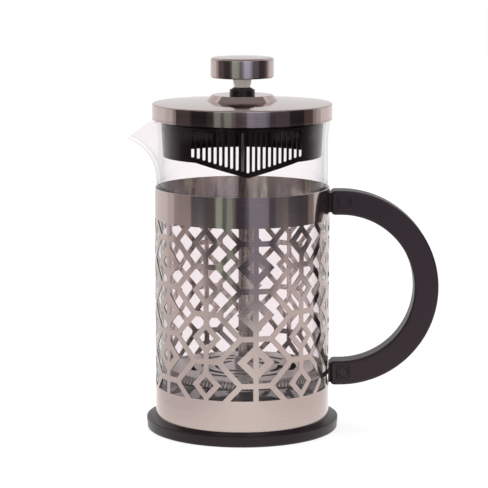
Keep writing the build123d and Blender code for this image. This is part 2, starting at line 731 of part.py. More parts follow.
with BuildPart() as knob_core:
    with BuildSketch(Plane.XZ):
        with BuildLine():
            seat_z = KNOB_BOTTOM + KNOB_SHEET
            core_top = knob_top - KNOB_DOME - KNOB_SHEET - FIT
            ferrule_mid_r = (FERRULE_TOP_R + FERRULE_LOW_R) / 2 + FERRULE_BULGE
            ferrule_mid = (ferrule_mid_r, (KNOB_BOTTOM + collar_top) / 2)
            Polyline(
                (ROD_R + FIT, collar_top),
                (FERRULE_LOW_R, collar_top),
            )
            ThreePointArc((FERRULE_LOW_R, collar_top), ferrule_mid, (FERRULE_TOP_R, KNOB_BOTTOM))
            Polyline(
                (FERRULE_TOP_R, KNOB_BOTTOM),
                (FERRULE_TOP_R, seat_z),
                (knob_inner - FIT, seat_z),
                (knob_inner - FIT, core_top),
                (0, core_top),
                (0, rod_top + FIT),
                (KNOB_INSERT_R + FIT, rod_top + FIT),
                (KNOB_INSERT_R + FIT, knob_insert_bottom),
                (ROD_R + FIT, knob_insert_bottom),
                (ROD_R + FIT, collar_top),
            )
        make_face()
    revolve(axis=Axis.Z)
save(knob_core, "knob_core")

with BuildPart() as knob_insert:
    with BuildSketch(Plane.XY.offset(knob_insert_bottom)):
        Circle(KNOB_INSERT_R)
        Circle(ROD_R + FIT, mode=Mode.SUBTRACT)
    extrude(amount=KNOB_INSERT_LENGTH)
save(knob_insert, "knob_insert")

# ---------------------------------------------------------------- filter stack at the foot of the rod

with BuildPart() as hub_nut:
    with BuildSketch(Plane.XZ):
        with BuildLine():
            nut_top = plate_top + HUB_NUT_HEIGHT
            dome_end = (HUB_NUT_R, nut_top - HUB_NUT_DOME)
            dome_start = (HUB_NUT_R - HUB_NUT_DOME / 2, nut_top)
            Polyline(
                dome_start,
                (ROD_R + FIT, nut_top),
                (ROD_R + FIT, mesh_top),
                (HUB_SPIGOT_R, mesh_top),
                (HUB_SPIGOT_R, plate_top),
                (HUB_NUT_R, plate_top),
                dome_end,
            )
            Spline(dome_end, dome_start, tangents=((0, 1), (-1, 0)))
        make_face()
    revolve(axis=Axis.Z)
save(hub_nut, "hub_nut")

with BuildPart() as spiral_plate:
    with BuildSketch(Plane.XY.offset(mesh_top + FIT)):
        Circle(plate_r)
        Circle(plate_r - PLATE_SHEET, mode=Mode.SUBTRACT)
    extrude(amount=plate_bottom - mesh_top)
    with BuildSketch(Plane.XY.offset(plate_bottom)):
        Circle(plate_r)
        Circle(HUB_SPIGOT_R + FIT, mode=Mode.SUBTRACT)
        for ring, ring_r in enumerate(PLATE_SLOT_RINGS):
            with PolarLocations(0, PLATE_SLOTS_PER_RING, start_angle=ring * PLATE_RING_TURN):
                slot_line = CenterArc((0, 0), ring_r, 0, PLATE_SLOT_ARC, mode=Mode.PRIVATE)
                SlotArc(slot_line, PLATE_SLOT_WIDTH, mode=Mode.SUBTRACT)
    extrude(amount=PLATE_SHEET)
save(spiral_plate, "spiral_plate")

with BuildPart() as edge_spring:
    with BuildSketch(Plane.XZ):
        with Locations((coil_ring_r, mesh_top + FIT + COIL_R)):
            Circle(COIL_R)
    revolve(axis=Axis.Z)
save(edge_spring, "edge_spring")

with BuildPart() as mesh_screen:
    with BuildSketch(Plane.XY.offset(mesh_bottom)):
        Circle(coil_ring_r + MESH_OVERLAP)
        Circle(ROD_R + FIT, mode=Mode.SUBTRACT)
    extrude(amount=MESH_THICKNESS)
save(mesh_screen, "mesh_screen")

with BuildPart() as cross_plate:
    with BuildSketch(Plane.XY.offset(STACK_BOTTOM)):
        Circle(plate_r)
        Circle(plate_r - CROSS_RIM, mode=Mode.SUBTRACT)
        Circle(CROSS_HUB_R)
        for arm_turn in (0, 90):
            Rectangle(2 * plate_r - CROSS_RIM, CROSS_ARM, rotation=arm_turn)
        Circle(ROD_R + FIT, mode=Mode.SUBTRACT)
    extrude(amount=CROSS_SHEET)
save(cross_plate, "cross_plate")

with BuildPart() as retaining_nut:
    with BuildSketch(Plane.XY.offset(STACK_BOTTOM - NUT_HEIGHT)):
        RegularPolygon(NUT_FLATS / 2, 6, major_radius=False)
        Circle(ROD_R + FIT, mode=Mode.SUBTRACT)
    extrude(amount=NUT_HEIGHT)
save(retaining_nut, "retaining_nut")
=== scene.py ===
"""Dresses the french press: finishes, the wire coil and cloth of the filter, a studio and a camera.

Every length is in metres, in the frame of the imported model: Z up, handle along +X, pouring lip along -X.
"""

import logging
import math
from dataclasses import dataclass

import bpy
from mathutils import Matrix, Vector


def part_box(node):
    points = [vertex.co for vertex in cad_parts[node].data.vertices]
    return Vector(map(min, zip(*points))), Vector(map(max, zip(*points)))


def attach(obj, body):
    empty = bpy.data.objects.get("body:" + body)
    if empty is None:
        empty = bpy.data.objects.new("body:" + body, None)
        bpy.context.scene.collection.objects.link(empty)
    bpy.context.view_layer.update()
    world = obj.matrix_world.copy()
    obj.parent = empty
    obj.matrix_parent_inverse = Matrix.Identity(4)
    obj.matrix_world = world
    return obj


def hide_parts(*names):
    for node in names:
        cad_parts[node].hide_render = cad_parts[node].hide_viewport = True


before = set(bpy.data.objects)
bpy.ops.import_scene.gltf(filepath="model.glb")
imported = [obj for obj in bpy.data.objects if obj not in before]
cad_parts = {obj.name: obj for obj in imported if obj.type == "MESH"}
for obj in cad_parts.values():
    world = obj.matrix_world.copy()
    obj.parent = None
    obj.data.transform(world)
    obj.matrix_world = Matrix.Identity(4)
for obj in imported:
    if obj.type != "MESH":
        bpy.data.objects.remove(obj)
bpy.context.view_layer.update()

LOG = logging.getLogger("french_press")
MM = 0.001

# Moulding marks: half side of the square, radius of the ring, width and height of the raised line.
MARK_HALF = 3.4 * MM
MARK_RING = 2.5 * MM
MARK_LINE = 0.4 * MM
MARK_DEPTH = 0.3 * MM

# The light passes many glass and steel surfaces on its way through the beaker.
CLEAR_BOUNCES = 32
MIRROR_BOUNCES = 6

# Octaves of the noises.
PLAIN_OCTAVES = 1.0
BROAD_OCTAVES = 2.0
FINE_OCTAVES = 3.0

Colour = tuple[float, float, float]
Tone = tuple[int, int, int]


def linear(red: int, green: int, blue: int) -> Colour:
    """Convert a display colour to the linear values that shaders take.

    Args:
        red: Red, 0 to 255.
        green: Green, 0 to 255.
        blue: Blue, 0 to 255.

    Returns:
        The three linear values, 0 to 1.
    """
    shares = [value / 255 for value in (red, green, blue)]
    return tuple(s / 12.92 if s <= 0.04045 else ((s + 0.055) / 1.055) ** 2.4 for s in shares)


STEEL = linear(190, 172, 168)
WARM_TINT = (*(value / max(STEEL) for value in STEEL), 1.0)
MIRROR = (0.9, 0.9, 0.9, 1.0)
WHITE = (1.0, 1.0, 1.0, 1.0)


class ShaderSheet:
    """A material's node tree, with short calls to add and join its nodes."""

    def __init__(self, name: str) -> None:
        """Start an empty material.

        Args:
            name: Name of the material.
        """
        self.material = bpy.data.materials.new(name)
        self.material.use_nodes = True
        self.tree = self.material.node_tree
        self.tree.nodes.clear()
        self.output = self.tree.nodes.new("ShaderNodeOutputMaterial")

    def add(self, kind: str, inputs: dict | None = None, **settings) -> bpy.types.Node:
        """Add one node.

        Args:
            kind: Name of the node type.
            inputs: Socket name or number to a value, or to an output socket to join.
            **settings: Properties of the node itself.

        Returns:
            The new node.
        """
        node = self.tree.nodes.new(kind)
        for key, value in settings.items():
            setattr(node, key, value)
        for key, value in (inputs or {}).items():
            if isinstance(value, bpy.types.NodeSocket):
                self.tree.links.new(value, node.inputs[key])
            else:
                node.inputs[key].default_value = value
        return node

    def maths(self, operation: str, *values) -> bpy.types.NodeSocket:
        """Add a Math node and return its result."""
        node = self.add("ShaderNodeMath", dict(enumerate(values)), operation=operation)
        return node.outputs[0]

    def mixed(self, share, first: bpy.types.Node, second: bpy.types.Node) -> bpy.types.Node:
        """Mix two shaders, the second by the given share."""
        return self.add("ShaderNodeMixShader", {0: share, 1: first.outputs[0], 2: second.outputs[0]})

    def finish(self, shader: bpy.types.Node) -> bpy.types.Material:
        """Join the last shader to the output and return the material."""
        self.tree.links.new(shader.outputs[0], self.output.inputs["Surface"])
        return self.material

    def place(self) -> bpy.types.NodeSocket:
        """Place of the surface in the piece's own space, which is the model's frame at rest."""
        return self.add("ShaderNodeTexCoord").outputs["Object"]

    def place_parts(self) -> bpy.types.bpy_prop_collection:
        """Give the x, y and z sockets of the surface's place."""
        return self.add("ShaderNodeSeparateXYZ", {0: self.place()}).outputs

    def noise(self, place: bpy.types.NodeSocket, scale: float, detail: float) -> bpy.types.NodeSocket:
        """Noise value at a place.

        Args:
            place: Where the noise is read.
            scale: Features per unit of the place.
            detail: Octaves of the noise.

        Returns:
            The noise value.
        """
        inputs = {"Vector": place, "Scale": scale, "Detail": detail}
        return self.add("ShaderNodeTexNoise", inputs).outputs["Fac"]

    def lines(self, along: float, across: float) -> bpy.types.NodeSocket:
        """Noise drawn out round the upright axis, fine up a wall and fine outwards on a flat top.

        Args:
            along: Features per metre along the sides of the press.
            across: Features per metre up a wall or outwards.

        Returns:
            The noise value.
        """
        x, y, z = self.place_parts()
        square = self.maths("ADD", self.maths("MULTIPLY", x, x), self.maths("MULTIPLY", y, y))
        reach = self.maths("SQRT", square)
        height = self.maths("MULTIPLY", self.maths("ADD", reach, z), across)
        vector = self.add(
            "ShaderNodeCombineXYZ",
            {0: self.maths("MULTIPLY", x, along), 1: self.maths("MULTIPLY", y, along), 2: height},
        )
        return self.noise(vector.outputs[0], 1.0, FINE_OCTAVES)

    def between(self, value: bpy.types.NodeSocket, low: float, high: float) -> bpy.types.NodeSocket:
        """Map a 0 to 1 value to a range of numbers."""
        node = self.add("ShaderNodeMapRange", {"Value": value, "To Min": low, "To Max": high})
        return node.outputs[0]

    def tones(self, value: bpy.types.NodeSocket, dark: Colour, light: Colour) -> bpy.types.NodeSocket:
        """Mix two colours by a 0 to 1 value."""
        node = self.add("ShaderNodeMix", {"Factor": value}, data_type="RGBA")
        node.inputs[6].default_value = (*dark, 1)
        node.inputs[7].default_value = (*light, 1)
        return node.outputs[2]

    def bump(
        self,
        height: bpy.types.NodeSocket,
        depth: float,
        base: bpy.types.NodeSocket | None = None,
    ) -> bpy.types.NodeSocket:
        """Turn a height value into a normal.

        Args:
            height: The height value, 0 to 1.
            depth: Depth in metres.
            base: Normal that the bump is added to.

        Returns:
            The normal.
        """
        inputs = {"Height": height, "Distance": depth, "Strength": 1.0}
        if base is not None:
            inputs["Normal"] = base
        return self.add("ShaderNodeBump", inputs).outputs[0]

    def vectors(self, operation: str, first, second=(0, 0, 0)) -> bpy.types.Node:
        """Add a Vector Math node."""
        return self.add("ShaderNodeVectorMath", {0: first, 1: second}, operation=operation)

    def turned(
        self, vector: bpy.types.NodeSocket, kind: str, source: str, target: str
    ) -> bpy.types.NodeSocket:
        """Carry a vector from one space to another.

        Args:
            vector: The vector.
            kind: NORMAL or VECTOR.
            source: Space that it is in.
            target: Space that it goes to.

        Returns:
            The vector in the new space.
        """
        settings = {"vector_type": kind, "convert_from": source, "convert_to": target}
        return self.add("ShaderNodeVectorTransform", {0: vector}, **settings).outputs[0]

    def faces_out(self) -> bpy.types.NodeSocket:
        """How far a face turns from the upright axis: 1 straight out, 0 along the wall, -1 straight in."""
        normal = self.add("ShaderNodeNewGeometry").outputs["True Normal"]
        facing = self.turned(normal, "NORMAL", "WORLD", "OBJECT")
        flat = self.vectors("MULTIPLY", self.place(), (1, 1, 0)).outputs[0]
        outwards = self.vectors("NORMALIZE", flat).outputs[0]
        return self.vectors("DOT_PRODUCT", facing, outwards).outputs["Value"]

    def mould_marks(self, centres: tuple[tuple[float, float], ...]) -> bpy.types.NodeSocket:
        """Fine raised outlines on the sides of a piece: a rounded square with a ring in it at each centre.

        Args:
            centres: Places (x, z) of the marks.

        Returns:
            The height value.
        """
        across, _, up = self.place_parts()
        height = 0.0
        for x, z in centres:
            aside = self.maths("ABSOLUTE", self.maths("SUBTRACT", across, x))
            above = self.maths("ABSOLUTE", self.maths("SUBTRACT", up, z))
            for half, roundness in ((MARK_HALF, 6.0), (MARK_RING, 2.0)):
                wide = self.maths("POWER", self.maths("DIVIDE", aside, half), roundness)
                tall = self.maths("POWER", self.maths("DIVIDE", above, half), roundness)
                reach = self.maths("POWER", self.maths("ADD", wide, tall), 1 / roundness)
                past = self.maths("ABSOLUTE", self.maths("SUBTRACT", reach, 1.0))
                off = self.maths("MULTIPLY", past, half)
                line = self.maths("SUBTRACT", 1.0, self.maths("DIVIDE", off, MARK_LINE))
                height = self.maths("MAXIMUM", height, line)
        return height


@dataclass(frozen=True)
class SteelFinish:
    """Stainless steel with fine lines round the press's axis.

    Attributes:
        name: Name of the material.
        colour: Linear colour of its reflection.
        roughness: Mean roughness.
        spread: How far the roughness varies.
        pull: Anisotropy across the lines.
        line_depth: Depth of the finest lines.
        shade: How dark the darker lines are, as a share of the colour.
        edge: Linear colour of the painted highlight on cut edges, which face neither away from the axis nor
            towards it.
        inside: Linear colour of the painted light on the faces towards the axis, lighter than the steel,
            where edge is given.
        edge_roughness: Least roughness of the cut edges.
        line_scale: Features per metre along and across the fine lines, which are bumps.
        streak_scale: Features per metre along and across the wide streaks, which are tones.
        sideways: Part of a face's turn from the axis under which it counts as a cut edge.
    """

    name: str
    colour: Colour
    roughness: float = 0.2
    spread: float = 0.06
    pull: float = 0.6
    line_depth: float = 0.4e-6
    shade: float = 0.94
    edge: Colour | None = None
    # Painted light: the inner faces are lighter than the steel's own colour.
    inside: Colour = (0.8, 0.79, 0.74)
    edge_roughness: float = 0.28
    line_scale: tuple[float, float] = (14.0, 2600.0)
    streak_scale: tuple[float, float] = (2.8, 650.0)
    sideways: float = 0.5

    def build(self) -> bpy.types.Material:
        """Make the material."""
        sheet = ShaderSheet(self.name)
        fine = sheet.lines(*self.line_scale)
        wide = sheet.lines(*self.streak_scale)
        darker = tuple(value * self.shade for value in self.colour)
        tone = sheet.tones(wide, darker, self.colour)
        roughness = sheet.between(wide, self.roughness - self.spread, self.roughness + self.spread)
        # Cut edges get a painted highlight and faces towards the axis get painted light, both lighter than
        # the steel.
        if self.edge is not None:
            outwards = sheet.faces_out()
            cut = sheet.maths("LESS_THAN", sheet.maths("ABSOLUTE", outwards), self.sideways)
            inner = sheet.maths("LESS_THAN", outwards, -self.sideways)
            tone = self._painted(sheet, tone, cut, self.edge)
            tone = self._painted(sheet, tone, inner, self.inside)
            roughness = sheet.maths("MAXIMUM", roughness, sheet.maths("MULTIPLY", cut, self.edge_roughness))
        round_way = sheet.vectors("CROSS_PRODUCT", (0, 0, 1), sheet.place()).outputs[0]
        shader = sheet.add(
            "ShaderNodeBsdfPrincipled",
            {
                "Base Color": tone,
                "Metallic": 1.0,
                "Roughness": roughness,
                "Anisotropic": self.pull,
                "Anisotropic Rotation": 0.25,
                "Tangent": sheet.turned(round_way, "VECTOR", "OBJECT", "WORLD"),
                "Normal": sheet.bump(fine, self.line_depth),
            },
        )
        return sheet.finish(shader)

    def _painted(
        self, sheet: ShaderSheet, tone: bpy.types.NodeSocket, where: bpy.types.NodeSocket, colour: Colour
    ) -> bpy.types.NodeSocket:
        """Paint a colour over some faces: the painted highlight on cut edges and the painted light on the
        faces towards the axis.

        Args:
            sheet: The material's nodes.
            tone: Colour of the other faces.
            where: One on those faces, else zero.
            colour: Linear colour painted on them.

        Returns:
            The colour of all faces.
        """
        mixed = sheet.add("ShaderNodeMix", {"Factor": where, 6: tone}, data_type="RGBA")
        mixed.inputs[7].default_value = (*colour, 1)
        return mixed.outputs[2]


@dataclass(frozen=True)
class PlasticFinish:
    """Moulded plastic or rubber with a fine texture.

    Attributes:
        name: Name of the material.
        colour: Linear body colour.
        roughness: Mean roughness.
        specular: Specular level, 0.5 being plain plastic.
        marks: Centres (x, z) of moulding marks on its sides.
        texture_scale: Features per metre of the moulded texture.
        texture_depth: Depth of the moulded texture.
        cloud_scale: Features per metre of the broad changes in tone.
        lighter: How much lighter the lighter parts are.
        smoother: How far the roughness falls in the darker parts.
        rougher: How far it rises in the lighter parts.
    """

    name: str
    colour: Colour
    roughness: float = 0.38
    specular: float = 0.5
    marks: tuple[tuple[float, float], ...] = ()
    texture_scale: float = 2200.0
    texture_depth: float = 3.0e-6
    cloud_scale: float = 55.0
    lighter: float = 1.18
    smoother: float = 0.04
    rougher: float = 0.05

    def build(self) -> bpy.types.Material:
        """Make the material."""
        sheet = ShaderSheet(self.name)
        broad = sheet.noise(sheet.place(), self.cloud_scale, BROAD_OCTAVES)
        fine = sheet.bump(sheet.noise(sheet.place(), self.texture_scale, FINE_OCTAVES), self.texture_depth)
        if self.marks:
            fine = sheet.bump(sheet.mould_marks(self.marks), MARK_DEPTH, fine)
        lighter = tuple(value * self.lighter for value in self.colour)
        shader = sheet.add(
            "ShaderNodeBsdfPrincipled",
            {
                "Base Color": sheet.tones(broad, self.colour, lighter),
                "Roughness": sheet.between(
                    broad, self.roughness - self.smoother, self.roughness + self.rougher
                ),
                "Specular IOR Level": self.specular,
                "Specular Tint": WARM_TINT,
                "Normal": fine,
            },
        )
        return sheet.finish(shader)


@dataclass(frozen=True)
class GlassFinish:
    """Clear thin glass, tinted, darker edge on, with a mirror that grows edge on, and with painted shade
    where the steel sleeve stands round it.

    Attributes:
        name: Name of the material.
        tint: Linear tint of one wall.
        held_tint: Linear tint of one wall where the steel sleeve stands round it, darker than the plain
            tint: painted shade of the sleeve.
        edge_tint: Linear tint of one surface seen edge on.
        held_top: Height where the sleeve ends.
        fade: Height over which the held tint, which is painted shade, fades out below the sleeve's top.
        floor_top: Height below which the thick glass of the floor looks milky.
        milk: Linear colour of the floor's thick glass.
        milk_share: Share of light that one surface of the floor scatters.
        shine: Share of light that the glass mirrors face on.
        ripple_scale: Features per metre of the waves in the glass.
        ripple_depth: Depth of those waves.
        edge_power: How late the edge tint comes as the surface turns away.
        mirror_power: How late the mirror comes as the surface turns away.
    """

    name: str
    tint: Colour
    held_tint: Colour
    edge_tint: Colour
    held_top: float
    floor_top: float
    fade: float = 0.03
    milk: Colour = linear(245, 238, 240)
    milk_share: float = 0.7
    shine: float = 0.008
    ripple_scale: float = 26.0
    ripple_depth: float = 6.0e-6
    edge_power: float = 4.0
    mirror_power: float = 5.0

    def build(self) -> bpy.types.Material:
        """Make the material."""
        sheet = ShaderSheet(self.name)
        ripple = sheet.bump(sheet.noise(sheet.place(), self.ripple_scale, PLAIN_OCTAVES), self.ripple_depth)
        facing = sheet.add("ShaderNodeLayerWeight", {"Blend": 0.5, "Normal": ripple}).outputs["Facing"]
        height = sheet.place_parts()[2]
        edge_on = sheet.maths("POWER", facing, self.edge_power)
        bare, held = (
            sheet.tones(edge_on, tuple(math.sqrt(value) for value in tint), self.edge_tint)
            for tint in (self.tint, self.held_tint)
        )
        # Below the sleeve's top the glass takes the darker held tint, a painted shade of the sleeve round
        # it.
        fading = {"Value": height, "From Min": self.held_top - self.fade, "From Max": self.held_top}
        below = sheet.add("ShaderNodeMapRange", {**fading, "To Min": 1.0, "To Max": 0.0}).outputs["Result"]
        tone = sheet.add("ShaderNodeMix", {"Factor": below, 6: bare, 7: held}, data_type="RGBA").outputs[2]
        through = sheet.add("ShaderNodeBsdfTransparent", {"Color": tone})
        milk = sheet.add("ShaderNodeBsdfDiffuse", {"Color": (*self.milk, 1)})
        in_floor = sheet.maths("LESS_THAN", height, self.floor_top)
        clear = sheet.mixed(sheet.maths("MULTIPLY", in_floor, self.milk_share), through, milk)
        mirror = sheet.add("ShaderNodeBsdfGlossy", {"Color": MIRROR, "Roughness": 0.0, "Normal": ripple})
        turned_away = sheet.maths("POWER", facing, self.mirror_power)
        share = sheet.maths("MULTIPLY_ADD", turned_away, 1 - self.shine, self.shine)
        return sheet.finish(sheet.mixed(share, clear, mirror))


@dataclass(frozen=True)
class ClothFinish:
    """Fine woven steel cloth, with painted shade in the gaps between its wires.

    Attributes:
        name: Name of the material.
        colour: Linear colour of the wire.
        pitch: Distance from wire to wire.
        depth: Depth of the weave.
        shade: How dark the painted shade in the gaps is, as a share of the colour.
        roughness: Roughness of the wire.
    """

    name: str
    colour: Colour
    pitch: float = 0.35 * MM
    depth: float = 0.04 * MM
    shade: float = 0.35
    roughness: float = 0.36

    def build(self) -> bpy.types.Material:
        """Make the material."""
        sheet = ShaderSheet(self.name)
        turns = math.tau / self.pitch
        across, away, _ = sheet.place_parts()
        weft = sheet.maths("SINE", sheet.maths("MULTIPLY", across, turns))
        warp = sheet.maths("SINE", sheet.maths("MULTIPLY", away, turns))
        weave = sheet.maths("MULTIPLY_ADD", sheet.maths("MULTIPLY", weft, warp), 0.5, 0.5)
        # The gaps between the wires are darkened: painted shade.
        darker = tuple(value * self.shade for value in self.colour)
        shader = sheet.add(
            "ShaderNodeBsdfPrincipled",
            {
                "Base Color": sheet.tones(weave, darker, self.colour),
                "Metallic": 1.0,
                "Roughness": self.roughness,
                "Normal": sheet.bump(weave, self.depth),
            },
        )
        return sheet.finish(shader)


def dress(node: str, material: bpy.types.Material) -> None:
    """Give a CAD node its finish.

    Args:
        node: Name of the node.
        material: The finish.
    """
    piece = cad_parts[node]
    piece.data.materials.clear()
    piece.data.materials.append(material)
    LOG.info("%s is dressed in %s", node, material.name)


@dataclass
class Foot:
    """The black foot and the cushion ring that the beaker stands on."""

    plastic: PlasticFinish = PlasticFinish(
        "foot_plastic", linear(21, 14, 22), roughness=0.34, specular=0.38
    )
    rubber: PlasticFinish = PlasticFinish("cushion_rubber", linear(150, 150, 150), roughness=0.6)

    def build(self) -> None:
        """Dress both pieces."""
        dress("base_foot", self.plastic.build())
        dress("beaker_cushion", self.rubber.build())


@dataclass
class Sleeve:
    """The pierced steel sleeve."""

    steel: SteelFinish = SteelFinish(
        "sleeve_steel",
        STEEL,
        roughness=0.12,
        spread=0.03,
        line_depth=0.7e-6,
        shade=0.9,
        # Painted highlight on the cut edges; the faces towards the axis keep the default painted light.
        edge=(1.0, 0.95, 0.92),
    )

    def build(self) -> None:
        """Dress the sleeve."""
        dress("steel_sleeve", self.steel.build())


@dataclass
class Handle:
    """The C handle with the screws and inserts that hold it, and the knob's insert of the same brass."""

    plastic: PlasticFinish = PlasticFinish(
        "handle_plastic",
        linear(39, 30, 38),
        roughness=0.4,
        specular=0.42,
        marks=((0.053, 0.1199), (0.053, 0.0298)),
    )
    steel: SteelFinish = SteelFinish("screw_steel", (0.6, 0.59, 0.57), roughness=0.28, pull=0.0)
    brass: SteelFinish = SteelFinish("insert_brass", (0.74, 0.56, 0.27), roughness=0.3, pull=0.0)

    def build(self) -> None:
        """Dress the handle and its fasteners."""
        screw = self.steel.build()
        insert = self.brass.build()
        dress("handle_grip", self.plastic.build())
        for end in ("upper", "lower"):
            dress(f"{end}_handle_screw", screw)
            dress(f"{end}_handle_insert", insert)
        dress("knob_insert", insert)


@dataclass
class Beaker:
    """The glass beaker, whose lowest few millimetres are the thick floor and its rounded edge."""

    milky_height: float = 6.0 * MM

    def build(self) -> None:
        """Dress the beaker."""
        glass = GlassFinish(
            "beaker_glass",
            tint=(0.965, 0.938, 0.95),
            # Darker tint inside the sleeve: painted shade of the sleeve round the glass.
            held_tint=(0.9, 0.852, 0.864),
            edge_tint=(0.76, 0.755, 0.76),
            held_top=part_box("steel_sleeve")[1].z,
            floor_top=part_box("glass_beaker")[0].z + self.milky_height,
        )
        dress("glass_beaker", glass.build())


@dataclass
class Lid:
    """The steel cover, the black strainer basket under it, and the collar on top."""

    steel: SteelFinish = SteelFinish("lid_steel", STEEL, roughness=0.08, spread=0.03, pull=0.4)
    collar: PlasticFinish = PlasticFinish("collar_plastic", linear(26, 22, 25), roughness=0.3)
    basket: PlasticFinish = PlasticFinish("basket_plastic", linear(16, 9, 12), roughness=0.3, specular=0.1)

    def build(self) -> None:
        """Dress the three pieces."""
        dress("lid_cover", self.steel.build())
        dress("lid_collar", self.collar.build())
        dress("strainer_basket", self.basket.build())


class CoilTree:
    """Geometry Nodes that wind a wire coil and close it into a ring."""

    INPUTS = (
        ("Ring Radius", "NodeSocketFloat"),
        ("Coil Radius", "NodeSocketFloat"),
        ("Wire Radius", "NodeSocketFloat"),
        ("Turns", "NodeSocketInt"),
        ("Height", "NodeSocketFloat"),
        ("Wire Material", "NodeSocketMaterial"),
    )
    POINTS_PER_TURN = 14
    WIRE_SIDES = 6

    def __init__(self) -> None:
        """Build the node group."""
        self.group = bpy.data.node_groups.new("wound_ring", "GeometryNodeTree")
        self.group.interface.new_socket("Geometry", in_out="OUTPUT", socket_type="NodeSocketGeometry")
        self.sockets: dict[str, str] = {}
        for name, kind in self.INPUTS:
            item = self.group.interface.new_socket(name, in_out="INPUT", socket_type=kind)
            self.sockets[name] = item.identifier
        self._join()

    def _node(self, kind: str, **settings) -> bpy.types.Node:
        """Add one node with its settings."""
        node = self.group.nodes.new(kind)
        for key, value in settings.items():
            setattr(node, key, value)
        return node

    def _maths(self, operation: str, *values) -> bpy.types.NodeSocket:
        """Add a Math node and return its result."""
        node = self._node("ShaderNodeMath", operation=operation)
        for index, value in enumerate(values):
            if isinstance(value, bpy.types.NodeSocket):
                self.group.links.new(value, node.inputs[index])
            else:
                node.inputs[index].default_value = value
        return node.outputs[0]

    def _join(self) -> None:
        """Lay out the tree: a closed circle of points moved onto the winding, then swept with a wire."""
        links = self.group.links
        given = self._node("NodeGroupInput").outputs
        count = self._maths("MULTIPLY", given["Turns"], self.POINTS_PER_TURN)
        circle = self._node("GeometryNodeCurvePrimitiveCircle")
        links.new(count, circle.inputs["Resolution"])
        share = self._maths("DIVIDE", self._node("GeometryNodeInputIndex").outputs[0], count)
        round_angle = self._maths("MULTIPLY", share, math.tau)
        coil_angle = self._maths("MULTIPLY", round_angle, given["Turns"])
        swing = self._maths("MULTIPLY", self._maths("COSINE", coil_angle), given["Coil Radius"])
        reach = self._maths("ADD", given["Ring Radius"], swing)
        lift = self._maths("MULTIPLY", self._maths("SINE", coil_angle), given["Coil Radius"])
        spot = self._node("ShaderNodeCombineXYZ")
        links.new(self._maths("MULTIPLY", reach, self._maths("COSINE", round_angle)), spot.inputs[0])
        links.new(self._maths("MULTIPLY", reach, self._maths("SINE", round_angle)), spot.inputs[1])
        links.new(self._maths("ADD", lift, given["Height"]), spot.inputs[2])
        moved = self._node("GeometryNodeSetPosition")
        links.new(circle.outputs["Curve"], moved.inputs["Geometry"])
        links.new(spot.outputs[0], moved.inputs["Position"])
        section = self._node("GeometryNodeCurvePrimitiveCircle")
        section.inputs["Resolution"].default_value = self.WIRE_SIDES
        links.new(given["Wire Radius"], section.inputs["Radius"])
        swept = self._node("GeometryNodeCurveToMesh")
        links.new(moved.outputs[0], swept.inputs["Curve"])
        links.new(section.outputs["Curve"], swept.inputs["Profile Curve"])
        smooth = self._node("GeometryNodeSetShadeSmooth")
        links.new(swept.outputs[0], smooth.inputs[0])
        real = self._node("GeometryNodeRealizeInstances")
        links.new(smooth.outputs[0], real.inputs[0])
        painted = self._node("GeometryNodeSetMaterial")
        links.new(real.outputs[0], painted.inputs["Geometry"])
        links.new(given["Wire Material"], painted.inputs["Material"])
        links.new(painted.outputs[0], self._node("NodeGroupOutput").inputs[0])

    def make(self, name: str, values: dict) -> bpy.types.Object:
        """Run the tree once and keep its result as a plain mesh object.

        Args:
            name: Name of the new object.
            values: Input name to value.

        Returns:
            The object, at the origin.
        """
        holder = bpy.data.objects.new(f"{name}_source", bpy.data.meshes.new(f"{name}_source"))
        bpy.context.scene.collection.objects.link(holder)
        modifier = holder.modifiers.new("winding", "NODES")
        modifier.node_group = self.group
        for key, value in values.items():
            modifier[self.sockets[key]] = value
        graph = bpy.context.evaluated_depsgraph_get()
        mesh = bpy.data.meshes.new_from_object(holder.evaluated_get(graph), depsgraph=graph)
        holder.modifiers.remove(modifier)
        bpy.data.objects.remove(holder)
        mesh.name = name
        piece = bpy.data.objects.new(name, mesh)
        bpy.context.scene.collection.objects.link(piece)
        return piece


@dataclass
class Plunger:
    """Knob, rod and filter stack."""

    wire_radius: float = 0.45 * MM
    coil_turns: int = 130
    knob_steel: SteelFinish = SteelFinish("knob_steel", STEEL, roughness=0.12, spread=0.03, pull=0.4)
    rod_steel: SteelFinish = SteelFinish("rod_steel", (0.42, 0.38, 0.36), roughness=0.14, pull=0.2)
    # Off-white plastic, its colour raised close to white: partly its own colour, partly painted light
    # against the shade of the knob above it.
    ferrule: PlasticFinish = PlasticFinish("knob_plastic", linear(250, 243, 230), roughness=0.42)
    filter_steel: SteelFinish = SteelFinish("filter_steel", (0.8, 0.76, 0.74), roughness=0.36, pull=0.3)
    cloth: ClothFinish = ClothFinish("mesh_steel", (0.5, 0.49, 0.48))

    def build(self) -> None:
        """Dress the pieces and wind the spring."""
        filter_steel = self.filter_steel.build()
        dress("plunger_rod", self.rod_steel.build())
        dress("knob_shell", self.knob_steel.build())
        dress("knob_core", self.ferrule.build())
        for node in ("hub_nut", "spiral_plate", "cross_plate", "retaining_nut"):
            dress(node, filter_steel)
        dress("mesh_screen", self.cloth.build())
        self._wind_spring(filter_steel)

    def _wind_spring(self, material: bpy.types.Material) -> None:
        """Replace the plain ring by a coil of wire of the same outer size.

        Args:
            material: Finish of the wire.
        """
        low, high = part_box("edge_spring")
        coil_radius = (high.z - low.z) / 2
        ring_radius = (high.x - low.x) / 2 - coil_radius
        coil = CoilTree().make(
            "wound_spring",
            {
                "Ring Radius": ring_radius,
                "Coil Radius": coil_radius - self.wire_radius,
                "Wire Radius": self.wire_radius,
                "Turns": self.coil_turns,
                "Height": (high.z + low.z) / 2,
                "Wire Material": material,
            },
        )
        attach(coil, "plunger")
        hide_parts("edge_spring")
        LOG.info("wound_spring has %d turns", self.coil_turns)


